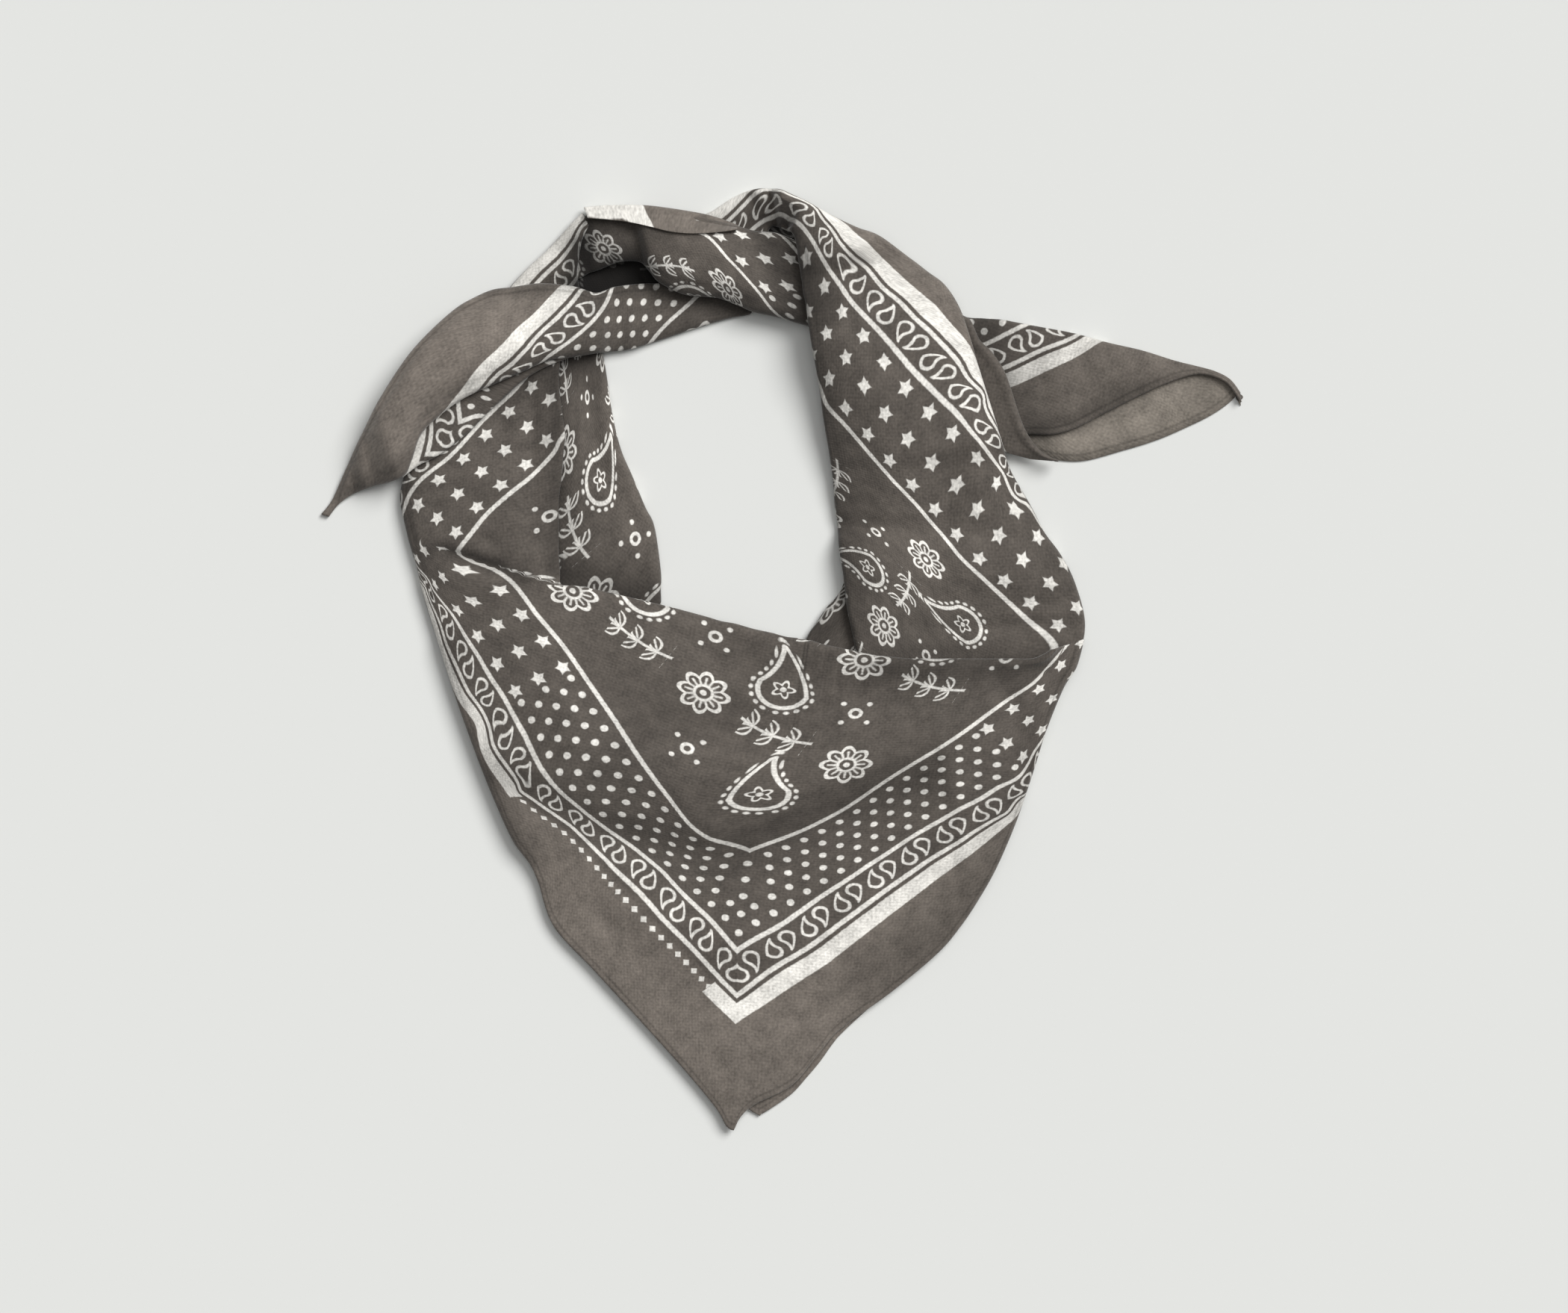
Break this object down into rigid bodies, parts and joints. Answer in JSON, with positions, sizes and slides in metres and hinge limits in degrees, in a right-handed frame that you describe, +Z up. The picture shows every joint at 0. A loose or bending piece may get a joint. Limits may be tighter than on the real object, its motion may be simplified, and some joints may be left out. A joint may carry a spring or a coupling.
{
  "type": "neckerchief",
  "caption": "Square cotton neckerchief folded to a triangle, tied with an overhand knot and laid flat, with an open neck loop, a hanging corner and two tails.",
  "frame": {"origin": "middle of the part's box in plan, at the surface that it lies on", "axes": "+Z up from the cloth's printed face, +Y from the hanging corner towards the knot, +X towards the right tail"},
  "size_m": [0.359, 0.3642, 0.0233],
  "materials": {
    "printed_cotton": "plain-weave cotton with an off-white print on warm grey"
  },
  "bodies": {
    "root": {"bib_back": "printed_cotton", "neck_band": "printed_cotton", "left_arm": "printed_cotton", "right_arm": "printed_cotton", "bib_front": "printed_cotton", "knot_wrap": "printed_cotton", "left_tail": "printed_cotton", "right_tail": "printed_cotton"}
  },
  "joints": []
}
